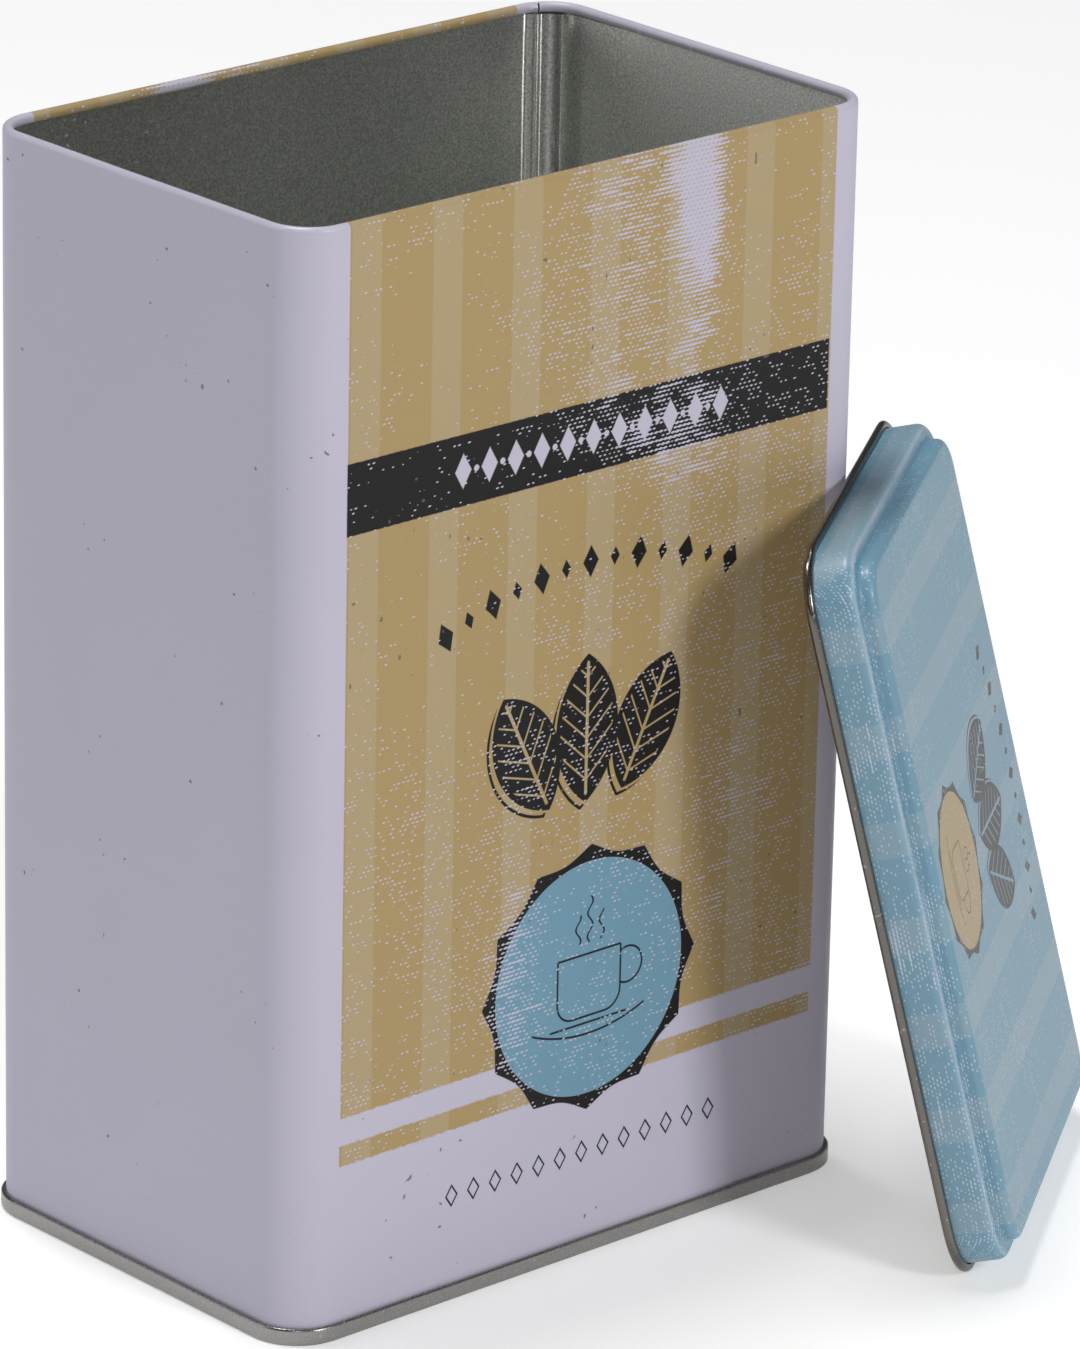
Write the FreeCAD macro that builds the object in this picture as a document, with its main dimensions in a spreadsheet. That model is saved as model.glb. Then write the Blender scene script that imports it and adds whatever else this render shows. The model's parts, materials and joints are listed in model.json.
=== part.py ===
import FreeCAD, Part
import math
import os
import re

import Sketcher

# A rectangular slip-lid tin made of tinplate sheet, standing open with its lid leaning against it.
# The tin stands on its bottom seam at z = 0 and its middle is the origin: +X runs along the wide front,
# -Y is the front, +Z is up. The lid leans against the front right corner, its open side towards the tin.
# All lengths are in millimetres and all angles in degrees.

SIZES = {
    # the body, measured over its outer faces
    "body_width": 124.5,
    "body_depth": 80.0,
    "body_height": 190.0,
    "corner_radius": 8.5,
    "sheet_gauge": 0.28,
    # the rim: the sheet rolls inward, over the top and most of the way round
    "rim_roll": 0.9,
    "rim_end_turn": 20.0,
    "rim_slit": 0.3,
    # the side seam: the sheet's two edges folded into each other in the back right corner
    "side_seam_start": 30.0,
    "side_seam_sweep": 35.0,
    "side_seam_proud": 0.75,
    "side_seam_foot": 4.2,
    # the bottom seam: the body's flange and the base's edge rolled together
    "seam_height": 3.0,
    "hook_gap": 0.035,
    "body_hook_top": 2.36,
    "cover_hook_end": 1.1,
    "seam_bend": 0.4,
    "panel_bend": 0.6,
    "base_panel_rise": 3.2,
    # the lid, measured from the plane of its open edge
    "lid_clearance": 0.7,
    "lid_bead": 0.84,
    "lid_bead_end_turn": 25.0,
    "lid_ledge_rise": 8.3,
    "lid_panel_rise": 11.0,
    "lid_shoulder": 1.56,
    "lid_riser_inset": 3.0,
    "lid_foot_bend": 0.9,
    "lid_edge_bend": 1.3,
    # how far a flat panel and the pressed rim round it run into each other, so that they make one sheet
    "panel_lap": 2.0,
    # how the lid stands: turned about Z, leaning back, shifted along its short side, just off the corner
    "lid_turn": 35.9,
    "lid_lean": 13.9,
    "lid_shift": -5.3,
    "lean_gap": 0.3,
}

SHEET = "Sizes"
SIZE_WORD = re.compile(r"\b(" + "|".join(SIZES) + r")\b")


def bound(formula):
    """The formula with each size's name pointing at its cell."""
    return SIZE_WORD.sub(SHEET + r".\1", formula)


def add_sheet(doc):
    sheet = doc.addObject("Spreadsheet::Sheet", SHEET)
    for row, (name, size) in enumerate(SIZES.items(), start=1):
        sheet.set(f"A{row}", name)
        sheet.set(f"B{row}", str(size))
        sheet.setAlias(f"B{row}", name)
    doc.recompute()
    return sheet


def number(owner, formula):
    """The formula's value now, for drawing a sketch close to its final shape."""
    result = owner.evalExpression(bound(formula))
    return float(getattr(result, "Value", result))


def pin(sketch, curve, end, place):
    """Hold one end of a curve at a place given by two formulas."""
    for kind, formula in zip(("DistanceX", "DistanceY"), place):
        held = Sketcher.Constraint(kind, curve, end, number(sketch, formula))
        index = sketch.addConstraint(held)
        sketch.setExpression(f"Constraints[{index}]", bound(formula))


def arc_between(first, last, radius, turn):
    """An arc of less than half a turn from first to last; turn is 1 for anticlockwise and -1 for clockwise."""
    chord = last - first
    rise = math.sqrt(radius**2 - (chord.Length / 2) ** 2)
    left = FreeCAD.Vector(-chord.y, chord.x, 0).normalize()
    centre = (first + last) * 0.5 + left * rise * turn
    ends = [math.atan2(p.y - centre.y, p.x - centre.x) for p in (first, last)][::turn]
    circle = Part.Circle(centre, FreeCAD.Vector(0, 0, 1), radius)
    return Part.ArcOfCircle(circle, ends[0], ends[1])


def trace(sketch, start, steps, closed=False):
    """Draw a chain of curves through points given by formulas.

    A step is (x, y) for a straight line, or (x, y, radius, turn) for an arc of up to a quarter turn.
    """
    place = start
    joined = None
    for step in steps:
        first = FreeCAD.Vector(*(number(sketch, formula) for formula in place), 0)
        last = FreeCAD.Vector(*(number(sketch, formula) for formula in step[:2]), 0)
        if len(step) == 2:
            curve = sketch.addGeometry(Part.LineSegment(first, last))
            head, tail = 1, 2
        else:
            radius, turn = step[2:]
            curve = sketch.addGeometry(arc_between(first, last, number(sketch, radius), turn))
            head, tail = (1, 2) if turn > 0 else (2, 1)
            index = sketch.addConstraint(Sketcher.Constraint("Radius", curve, number(sketch, radius)))
            sketch.setExpression(f"Constraints[{index}]", bound(radius))
        if joined is None:
            pin(sketch, curve, head, place)
            opening = (curve, head)
        else:
            sketch.addConstraint(Sketcher.Constraint("Coincident", *joined, curve, head))
        if closed and step is steps[-1]:
            sketch.addConstraint(Sketcher.Constraint("Coincident", curve, tail, *opening))
        else:
            pin(sketch, curve, tail, step[:2])
        joined = (curve, tail)
        place = step[:2]


def rounded_rectangle(doc, name, inset, rise="0"):
    """The body's outline moved inward by inset, as a closed sketch that starts halfway up its right side."""
    sketch = doc.addObject("Sketcher::SketchObject", name)
    across = f"(body_width / 2 - {inset})"
    deep = f"(body_depth / 2 - {inset})"
    radius = f"(corner_radius - {inset})"
    flat_x = "(body_width / 2 - corner_radius)"
    flat_y = "(body_depth / 2 - corner_radius)"
    corners = [
        (across, flat_y),
        (flat_x, deep, radius, 1),
        (f"-{flat_x}", deep),
        (f"-{across}", flat_y, radius, 1),
        (f"-{across}", f"-{flat_y}"),
        (f"-{flat_x}", f"-{deep}", radius, 1),
        (flat_x, f"-{deep}"),
        (across, f"-{flat_y}", radius, 1),
        (across, "0"),
    ]
    trace(sketch, (across, "0"), corners, closed=True)
    sketch.setExpression("Placement.Base.z", bound(rise))
    return sketch


def pressed_sheet(doc, name, outline, start, steps):
    """Sheet of one gauge that follows a drawn centre line and runs all round the outline."""
    line = doc.addObject("Sketcher::SketchObject", name + "_line")
    line.Placement.Rotation = FreeCAD.Rotation(FreeCAD.Vector(1, 0, 0), 90)
    trace(line, start, steps)
    section = doc.addObject("Part::Offset2D", name + "_section")
    section.Source = line
    section.Mode = "Pipe"
    section.setExpression("Value", bound("sheet_gauge / 2"))
    sheet = doc.addObject("Part::Sweep", name + "_sheet")
    sheet.Sections = [section]
    sheet.Spine = (outline, [])
    sheet.Solid = True
    return sheet


def flat_sheet(doc, name, outline):
    """A flat sheet filling the outline, centred on the outline's height."""
    sheet = doc.addObject("Part::Extrusion", name)
    sheet.Base = outline
    sheet.Dir = FreeCAD.Vector(0, 0, 1)
    sheet.DirMode = "Custom"
    sheet.Solid = True
    sheet.setExpression("LengthFwd", bound("sheet_gauge / 2"))
    sheet.setExpression("LengthRev", bound("sheet_gauge / 2"))
    return sheet


def one_piece(doc, kind, name, shapes):
    piece = doc.addObject(kind, name)
    if kind == "Part::Cut":
        piece.Base, piece.Tool = shapes
    else:
        piece.Shapes = shapes
    piece.Refine = True
    return piece


def corner_block(doc, name, radius, foot, top):
    """A pie slice of the back right corner, as wide as the side seam."""
    block = doc.addObject("Part::Cylinder", name)
    block.setExpression("Radius", bound(radius))
    block.setExpression("Height", bound(f"{top} - {foot}"))
    block.setExpression("Angle", bound("side_seam_sweep"))
    block.setExpression("Placement.Base.x", bound("body_width / 2 - corner_radius"))
    block.setExpression("Placement.Base.y", bound("body_depth / 2 - corner_radius"))
    block.setExpression("Placement.Base.z", bound(foot))
    block.Placement.Rotation = FreeCAD.Rotation(FreeCAD.Vector(0, 0, 1), 0)
    block.setExpression("Placement.Rotation.Angle", bound("side_seam_start"))
    return block


def make_wall(doc, outline):
    """The body: one sheet bent round, hooked along its foot and rolled inward along its rim."""
    face = "body_width / 2"
    sheet_x = f"{face} - sheet_gauge / 2"
    hook_bend = "(sheet_gauge + 1.25 * hook_gap)"
    hook_x = f"{sheet_x} + 2 * {hook_bend}"
    turn_z = f"(1.5 * sheet_gauge + hook_gap + {hook_bend})"
    roll = "(rim_roll - sheet_gauge / 2)"
    roll_x = f"({face} - rim_roll)"
    roll_z = "(body_height - rim_roll)"
    steps = [
        (hook_x, turn_z),
        (f"{sheet_x} + {hook_bend}", f"{turn_z} - {hook_bend}", hook_bend, -1),
        (sheet_x, turn_z, hook_bend, -1),
        (sheet_x, roll_z),
        (roll_x, f"{roll_z} + {roll}", roll, 1),
        (f"{roll_x} - {roll}", roll_z, roll, 1),
        (roll_x, f"{roll_z} - {roll}", roll, 1),
        (f"{roll_x} + {roll} * sin(rim_end_turn)", f"{roll_z} - {roll} * cos(rim_end_turn)", roll, 1),
    ]
    tube = pressed_sheet(doc, "wall", outline, (hook_x, "body_hook_top"), steps)

    seam_top = "(body_height - 2 * rim_roll - sheet_gauge)"
    middle = "(corner_radius - sheet_gauge / 2)"
    filled = corner_block(doc, "side_seam_outside", middle, "side_seam_foot", seam_top)
    hollow_radius = "corner_radius - sheet_gauge - side_seam_proud"
    hollow = corner_block(doc, "side_seam_inside", hollow_radius, "side_seam_foot", seam_top)
    seam = one_piece(doc, "Part::Cut", "side_seam", (filled, hollow))
    seamed = one_piece(doc, "Part::MultiFuse", "seamed_wall", [tube, seam])

    # the rim is slit where the seam's fold ends, because the two edges are rolled over side by side
    slit = doc.addObject("Part::Box", "slit")
    slit.setExpression("Length", bound("2 * corner_radius"))
    slit.setExpression("Width", bound("rim_slit"))
    slit.setExpression("Height", bound("3 * rim_roll"))
    slit.Placement.Rotation = FreeCAD.Rotation(FreeCAD.Vector(0, 0, 1), 1)
    slit.setExpression("Placement.Rotation.Angle", bound("side_seam_start + side_seam_sweep"))
    slit.setExpression("Placement.Base.x", bound("body_width / 2 - corner_radius"))
    slit.setExpression("Placement.Base.y", bound("body_depth / 2 - corner_radius"))
    slit.setExpression("Placement.Base.z", bound("body_height - 2 * rim_roll + sheet_gauge"))
    return one_piece(doc, "Part::Cut", "wall", (seamed, slit))


def make_base(doc, outline):
    """The base: a sunk flat panel whose edge is rolled round the body's hook, making the foot it stands on."""
    face = "body_width / 2"
    chuck_x = f"({face} - 1.5 * sheet_gauge - 0.5 * hook_gap)"
    outer_x = f"({face} + 2.5 * sheet_gauge + 3 * hook_gap)"
    cover_bend = "(sheet_gauge + hook_gap)"
    fold_z = f"(seam_height - sheet_gauge / 2 - {cover_bend})"
    low = "(sheet_gauge / 2)"
    steps = [
        (f"{chuck_x} - panel_bend", "base_panel_rise"),
        (chuck_x, "base_panel_rise - panel_bend", "panel_bend", -1),
        (chuck_x, f"{low} + seam_bend"),
        (f"{chuck_x} + seam_bend", low, "seam_bend", 1),
        (f"{outer_x} - seam_bend", low),
        (outer_x, f"{low} + seam_bend", "seam_bend", 1),
        (outer_x, fold_z),
        (f"{outer_x} - {cover_bend}", f"{fold_z} + {cover_bend}", cover_bend, 1),
        (f"{outer_x} - 2 * {cover_bend}", fold_z, cover_bend, 1),
        (f"{outer_x} - 2 * {cover_bend}", "cover_hook_end"),
    ]
    start = (f"{chuck_x} - panel_bend - 2 * panel_lap", "base_panel_rise")
    edge = pressed_sheet(doc, "base", outline, start, steps)
    fill = rounded_rectangle(doc, "base_fill", "(panel_lap + panel_bend)", "base_panel_rise")
    panel = flat_sheet(doc, "base_panel", fill)
    return one_piece(doc, "Part::MultiFuse", "base", [edge, panel])


def make_lid(doc, outline):
    """The lid: one drawn sheet with a raised panel, a shoulder, a skirt and an edge rolled outward."""
    inner = "body_width / 2 + lid_clearance"
    skirt_x = f"({inner} + sheet_gauge / 2)"
    bead_x = f"({inner} + lid_bead)"
    bead = "(lid_bead - sheet_gauge / 2)"
    ledge_z = "(lid_ledge_rise - sheet_gauge / 2)"
    panel_z = "(lid_panel_rise - sheet_gauge / 2)"
    riser_x = f"({skirt_x} - lid_riser_inset)"
    steps = [
        (riser_x, f"{panel_z} - lid_edge_bend", "lid_edge_bend", -1),
        (riser_x, f"{ledge_z} + lid_foot_bend"),
        (f"{riser_x} + lid_foot_bend", ledge_z, "lid_foot_bend", 1),
        (f"{skirt_x} - lid_shoulder", ledge_z),
        (skirt_x, f"{ledge_z} - lid_shoulder", "lid_shoulder", -1),
        (skirt_x, "lid_bead"),
        (bead_x, f"lid_bead - {bead}", bead, 1),
        (f"{bead_x} + {bead}", "lid_bead", bead, 1),
        (bead_x, f"lid_bead + {bead}", bead, 1),
        (
            f"{bead_x} - {bead} * sin(lid_bead_end_turn)",
            f"lid_bead + {bead} * cos(lid_bead_end_turn)",
            bead,
            1,
        ),
    ]
    edge_x = f"{riser_x} - lid_edge_bend"
    lap = (f"{edge_x} - 2 * panel_lap", panel_z)
    edge = pressed_sheet(doc, "lid", outline, lap, [(edge_x, panel_z)] + steps)
    fill_inset = "(lid_riser_inset + lid_edge_bend - lid_clearance - sheet_gauge / 2 + panel_lap)"
    fill = rounded_rectangle(doc, "lid_fill", fill_inset, panel_z)
    panel = flat_sheet(doc, "lid_panel", fill)
    lid = one_piece(doc, "Part::MultiFuse", "lid", [edge, panel])

    # Both short sides lie level: the lower bead rests on the ground, the upper one near the tin's corner.
    reach = "(body_width + 2 * lid_clearance + 2 * lid_bead)"
    off_corner = f"(corner_radius + lean_gap + lid_bead + {reach} * sin(lid_lean) / 2 - lid_bead * cos(lid_lean))"
    corner_x = "(body_width / 2 - corner_radius)"
    corner_y = "(corner_radius - body_depth / 2)"
    middle = {
        "x": f"{corner_x} + lid_shift * cos(lid_turn) + {off_corner} * sin(lid_turn)",
        "y": f"{corner_y} + lid_shift * sin(lid_turn) - {off_corner} * cos(lid_turn)",
        "z": f"lid_bead + {reach} * cos(lid_lean) / 2 - lid_bead * sin(lid_lean)",
    }
    spot = "; ".join(middle.values())
    turned = "create(<<rotation>>; lid_turn + 90; lid_lean - 90; 0)"
    lid.setExpression("Placement", bound(f"create(<<placement>>; create(<<vector>>; {spot}); {turned})"))
    return lid


def main():
    doc = FreeCAD.newDocument("slip_lid_tin")
    add_sheet(doc)
    outline = rounded_rectangle(doc, "outline", "0")
    pieces = [make_wall(doc, outline), make_base(doc, outline), make_lid(doc, outline)]
    doc.recompute()
    for thing in doc.Objects:
        if {"Invalid", "Error"} & set(thing.State):
            raise RuntimeError(f"{thing.Name} did not compute: {thing.State}")
    os.makedirs("parts", exist_ok=True)
    for piece in pieces:
        shape = piece.Shape
        if shape.isNull() or not shape.isValid() or len(shape.Solids) != 1:
            raise RuntimeError(f"{piece.Label} is not one sound solid")
        shape.exportStep(f"parts/{piece.Label}.step")
        box = shape.BoundBox
        low = ", ".join(f"{v:.2f}" for v in (box.XMin, box.YMin, box.ZMin))
        high = ", ".join(f"{v:.2f}" for v in (box.XMax, box.YMax, box.ZMax))
        print(f"{piece.Label}: {shape.Volume / 1000:.2f} cm3, from ({low}) to ({high})")


main()
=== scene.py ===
import json
import math

import bmesh
import bpy
from mathutils import Matrix, Vector, noise


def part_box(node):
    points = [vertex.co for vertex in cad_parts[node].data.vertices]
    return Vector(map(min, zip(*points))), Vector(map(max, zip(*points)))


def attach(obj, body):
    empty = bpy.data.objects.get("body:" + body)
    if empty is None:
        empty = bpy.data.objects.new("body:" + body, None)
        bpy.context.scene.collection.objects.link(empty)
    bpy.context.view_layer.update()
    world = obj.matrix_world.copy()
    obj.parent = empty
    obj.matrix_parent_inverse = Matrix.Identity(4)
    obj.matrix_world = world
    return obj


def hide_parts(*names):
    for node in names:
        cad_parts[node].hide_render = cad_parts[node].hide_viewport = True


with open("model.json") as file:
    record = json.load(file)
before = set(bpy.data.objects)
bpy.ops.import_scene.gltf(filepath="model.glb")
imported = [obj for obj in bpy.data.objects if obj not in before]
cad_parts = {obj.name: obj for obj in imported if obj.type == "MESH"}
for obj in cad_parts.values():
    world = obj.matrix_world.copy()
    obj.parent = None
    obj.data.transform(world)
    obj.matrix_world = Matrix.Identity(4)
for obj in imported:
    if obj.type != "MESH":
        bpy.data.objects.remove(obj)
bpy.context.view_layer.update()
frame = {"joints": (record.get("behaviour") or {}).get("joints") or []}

# An open slip-lid tin with its lid leaning against it. Everything is in metres and in the CAD model's
# frame: +X runs along the wide front, -Y is the front and +Z is up. Printed artwork is laid out in
# millimetres.

# ---------------------------------------------------------------- sizes, as the CAD model has them
GAUGE = 0.00028
CORNER = 0.0085
HOOK_REACH = 0.0006475
FACE_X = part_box("wall")[1].x - HOOK_REACH
FACE_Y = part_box("wall")[1].y - HOOK_REACH
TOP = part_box("wall")[1].z
FLAT_X = FACE_X - CORNER
FLAT_Y = FACE_Y - CORNER

RIM_ROLL = 0.0009
RIM_ROLL_TURN = 290

# the side seam, in the back right corner: where it lies, in degrees round that corner, and how high
SEAM_START = 30
SEAM_EDGE = 0.8
SEAM_END = 65
SEAM_FADE = 82
SEAM_PROUD = 0.00075
SEAM_FOOT = 0.0042
SEAM_TOP = TOP - 2 * RIM_ROLL - GAUGE
RIM_SLIT = 0.0003

# seen from inside: low ridges along the seam's edges, and the sheet swelling out of the corner beside it
SEAM_RIDGE = 0.00022
SEAM_TUCK = 0.00014
CORNER_SWELL = 0.0005
CORNER_SWELL_REACH = 0.014

# how untrue the sheet is: the flats' bow, the rim's sag and the bottom seam's dents
BOW = 0.00022
SAG = 0.00005
SAG_START = 0.17
DENT = 0.00005
CORNER_DENT = 0.00010

HOOK_GAP = 0.000035
HOOK_BEND = GAUGE + 1.25 * HOOK_GAP
HOOK_TOP = 0.00236
COVER_BEND = GAUGE + HOOK_GAP
COVER_END = 0.0011
SEAM_HEIGHT = 0.003
SEAM_BEND = 0.0004
BASE_RISE = 0.0032
BASE_BEND = 0.0006

LID_CLEARANCE = 0.0007
LID_BEAD = 0.00084
LID_BEAD_TURN = 295
LID_LEDGE = 0.0083
LID_PANEL = 0.011
LID_SHOULDER = 0.00156
LID_RISER_INSET = 0.003
LID_FOOT_BEND = 0.0009
LID_EDGE_BEND = 0.0013
LID_PANEL_LAP = 0.002

# the lid's rolled edge is pinched, and stands a step higher, at an angle round its near upper corner
LID_PINCH = 0.00030
LID_PINCH_ANGLE = 24
LID_STEP = 0.00030

# where the lid's hinge line is, from the middle of the lid's open edge: along its length, and outward
HINGE_ALONG = -0.0588
HINGE_OUT = 0.00445

MM = 0.001
HAIR = 0.00005
FAR_AWAY = 999.0

# the wall is shown as four pieces: its ends are cut at this share of half the narrow sides' flats
WALL_SPLIT = 0.97


# ---------------------------------------------------------------- the outline that tin and lid share
class Station:
    """One place on the rounded outline: the foot of its outward normal, and how far along a flat it is.

    At the side seam's end, slit is how far the sheet is drawn back there and tuck how far it is pressed in.
    """

    def __init__(self, foot, angle, flat=None):
        self.foot = Vector(foot)
        self.angle = angle
        self.flat = flat
        self.slit = 0.0
        self.tuck = 0.0
        self.out = Vector((math.cos(math.radians(angle)), math.sin(math.radians(angle))))

    def at(self, out, sideways=0.0):
        """The point that stands out from the body's face by a distance."""
        along = Vector((-self.out.y, self.out.x))
        return self.foot + self.out * (CORNER + out) + along * sideways


def flat_run(angle, first=-1.0, last=1.0, spacing=0.004):
    """Stations along one flat, from first to last in halves of its length."""
    turn = math.radians(angle)
    out = Vector((math.cos(turn), math.sin(turn)))
    along = Vector((-out.y, out.x))
    half = FLAT_Y if angle % 180 == 0 else FLAT_X
    rise = FLAT_X if angle % 180 == 0 else FLAT_Y
    steps = max(1, round((last - first) * half / spacing))
    places = [first + (last - first) * i / steps for i in range(steps + 1)]
    return [Station(out * rise + along * half * t, angle, t) for t in places]


def corner_run(angles):
    """Stations round one corner at the given angles, which lie in one quarter turn."""
    quarter = int((min(angles) + max(angles)) / 2 // 90)
    side_x = 1 if quarter in (0, 3) else -1
    side_y = 1 if quarter in (0, 1) else -1
    foot = (side_x * FLAT_X, side_y * FLAT_Y)
    return [Station(foot, angle) for angle in angles]


def turn_steps(first, last, step=5.0):
    """Angles from first to last, both included, about a step apart."""
    count = max(1, round(abs(last - first) / step))
    return [first + (last - first) * i / count for i in range(count + 1)]


def inner(stations):
    """The stations without the first and last, which the runs beside them already have."""
    return stations[1:-1]


def whole_outline():
    """Stations all the way round."""
    stations = []
    for quarter in range(4):
        stations += flat_run(90 * quarter)
        stations += inner(corner_run(turn_steps(90 * quarter, 90 * quarter + 90)))
    return stations


# ---------------------------------------------------------------- sheet metal
def arc(out, up, radius, first, last, step=12.0):
    """Points of an arc about (out, up), without its first point."""
    angles = [math.radians(a) for a in turn_steps(first, last, step)]
    return [(out + radius * math.cos(a), up + radius * math.sin(a)) for a in angles[1:]]


def straight(first, last, spacing):
    """Points from first to last, without the first point."""
    steps = max(1, round(math.dist(first, last) / spacing))
    mix = [i / steps for i in range(1, steps + 1)]
    return [(first[0] + (last[0] - first[0]) * t, first[1] + (last[1] - first[1]) * t) for t in mix]


def two_sides(line, printed_left):
    """A sheet's section: its centre line moved half a gauge to the printed side and to the raw side."""
    printed = []
    raw = []
    along = 0.0
    for i, (out, up) in enumerate(line):
        before = line[max(i - 1, 0)]
        after = line[min(i + 1, len(line) - 1)]
        run = Vector((after[0] - before[0], after[1] - before[1])).normalized()
        if i:
            along += math.dist(line[i - 1], line[i])
        left = Vector((-run.y, run.x)) * (GAUGE / 2 if printed_left else -GAUGE / 2)
        printed.append((out + left.x, up + left.y, along))
        raw.append((out - left.x, up - left.y, along))
    return printed, raw


class Solid:
    """The points and faces of one closed piece, with each point's place in the artwork."""

    def __init__(self):
        self.points = []
        self.art = []
        self.faces = []
        self.finish = []

    def add(self, point, art=(0.0, 0.0)):
        self.points.append(point)
        self.art.append((*art, 0.0)[:3])
        return len(self.points) - 1

    def face(self, corners, finish):
        self.faces.append(corners)
        self.finish.append(finish)

    def strip(self, first, second, finish, closed):
        """Quads between two rows of points, in one of the piece's materials."""
        count = len(first)
        for i in range(count if closed else count - 1):
            j = (i + 1) % count
            self.face((first[i], first[j], second[j], second[i]), finish)

    def make(self, name, materials):
        mesh = bpy.data.meshes.new(name)
        mesh.from_pydata(self.points, [], self.faces)
        for material in materials:
            mesh.materials.append(material)
        mesh.polygons.foreach_set("material_index", self.finish)
        layer = mesh.attributes.new("art", "FLOAT_VECTOR", "POINT")
        layer.data.foreach_set("vector", [part for place in self.art for part in place])
        tidy = bmesh.new()
        tidy.from_mesh(mesh)
        bmesh.ops.recalc_face_normals(tidy, faces=tidy.faces)
        tidy.to_mesh(mesh)
        tidy.free()
        mesh.shade_smooth()
        mesh.set_sharp_from_angle(angle=math.radians(45))
        piece = bpy.data.objects.new(name, mesh)
        bpy.context.scene.collection.objects.link(piece)
        return piece


def sweep(solid, stations, section, place, art, closed, open_start=False, bead_from=math.inf):
    """Carries a section round the stations; returns the rows of points at its start, printed and raw.

    Materials are 0 on the printed side, 1 on the raw side, and 2 on both from a distance along the section.
    """
    skins = []
    for is_raw, side in enumerate(section):
        rows = []
        for out, up, along in side:
            rows.append([
                solid.add(place(station, out, up, is_raw), art(station, along, out))
                for station in stations
            ])
        for first, second, (_, _, along) in zip(rows, rows[1:], side):
            solid.strip(first, second, is_raw if along < bead_from else 2, closed)
        skins.append(rows)
    solid.strip(skins[0][-1], skins[1][-1], 1, closed)
    if not open_start:
        solid.strip(skins[0][0], skins[1][0], 1, closed)
    if not closed:
        for end in (0, -1):
            column = [row[end] for row in skins[0]]
            beside = [row[end] for row in skins[1]]
            solid.strip(column, beside, 1, False)
    return skins[0][0], skins[1][0]


def fill_panel(solid, edge, stations, out, place, art, is_raw, rings=9):
    """Closes a flat panel with rings that shrink towards a line along its middle."""
    reach = FACE_X - FACE_Y
    row = edge
    for ring in range(1, rings + 1):
        share = ring / (rings + 0.5)
        places = []
        for station in stations:
            start = station.at(out)
            target = Vector((max(-reach, min(reach, start.x)), 0.0))
            places.append(start.lerp(target, share))
        fresh = [solid.add(place(spot, is_raw), art(spot)) for spot in places]
        solid.strip(row, fresh, is_raw, True)
        row = fresh
    solid.face(tuple(row), is_raw)


# ---------------------------------------------------------------- shapes that are not quite true
def fade(share):
    """1 in the middle of a span from -1 to 1, and 0 with no slope at its ends."""
    return max(0.0, 1.0 - share * share) ** 2


def ease(value, low, high):
    """0 at low and 1 at high, with no slope at either."""
    share = max(0.0, min(1.0, (value - low) / (high - low)))
    return share * share * (3 - 2 * share)


def wander(x, y, z, size, seed):
    """A smooth random number of about -1 to 1 that changes over a distance of size."""
    return noise.noise(Vector((x / size + seed, y / size - seed, z / size + 2 * seed)))


def seam_relief(angle):
    """How the side seam moves the inner face outward at an angle round its corner: mostly less than 0."""
    if not SEAM_START <= angle <= SEAM_FADE:
        return 0.0
    relief = -SEAM_PROUD * ease(angle, SEAM_START, SEAM_START + SEAM_EDGE)
    relief += SEAM_PROUD * ease(angle, SEAM_END + 3, SEAM_FADE)
    relief -= SEAM_RIDGE * fade((angle - SEAM_END) / 6)
    relief -= SEAM_RIDGE * 0.5 * fade((angle - SEAM_START - 3) / 3)
    return relief


def wall_place(station, out, up, is_raw):
    """Where a point of the body's sheet is: flats bow a little, and the rim is not quite level."""
    middle = station.at(0.0)
    height = max(-1.0, min(1.0, 2 * up / TOP - 1))
    bow = 0.0
    if station.flat is not None:
        swell = BOW * wander(middle.x, middle.y, up, 0.055, 3.7)
        bow = swell * fade(station.flat) * fade(height)
    if is_raw and SEAM_FOOT < up < SEAM_TOP:
        bow += seam_relief(station.angle)
        away = station.angle / SEAM_START
        if station.angle == 0:
            away = (1 - station.flat) * FLAT_Y / CORNER_SWELL_REACH
        bow -= CORNER_SWELL * fade(away) * (1 + 0.5 * wander(0.0, middle.y, up, 0.011, 6.3))
    slit = station.slit if up > SEAM_TOP + GAUGE else 0.0
    tuck = 0.0 if is_raw else station.tuck
    spot = station.at(out + bow - tuck, slit)
    sag = SAG * (1 + wander(middle.x, middle.y, 0.0, 0.019, 8.1)) * ease(up, SAG_START, TOP)
    return (spot.x, spot.y, up - sag)


def foot_place(station, out, up, _):
    """Where a point of the base's sheet is: the seam's outer face has slight dents, deeper at corners."""
    middle = station.at(0.0)
    strength = DENT if station.flat is not None else CORNER_DENT
    dent = strength * (1 + wander(middle.x, middle.y, 3 * up, 0.0035, 5.3)) * ease(out, -0.0001, 0.0004)
    spot = station.at(out - dent)
    return (spot.x, spot.y, up)


# ---------------------------------------------------------------- the body
def wall_line():
    """The wall's centre line as (out, up), from its hook in the bottom seam up to the end of its roll."""
    sheet = -GAUGE / 2
    hook = sheet + 2 * HOOK_BEND
    turn = 1.5 * GAUGE + HOOK_GAP + HOOK_BEND
    roll = RIM_ROLL - GAUGE / 2
    line = [(hook, HOOK_TOP), (hook, turn)]
    line += arc(sheet + HOOK_BEND, turn, HOOK_BEND, 0, -180, 20)
    line += straight(line[-1], (sheet, SEAM_FOOT - HAIR), 0.002)
    line += [(sheet, SEAM_FOOT + HAIR)]
    line += straight(line[-1], (sheet, SEAM_TOP - HAIR), 0.005)
    line += [(sheet, SEAM_TOP + HAIR), (sheet, TOP - RIM_ROLL)]
    line += arc(-RIM_ROLL, TOP - RIM_ROLL, roll, 0, RIM_ROLL_TURN, 10)
    return line


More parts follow.
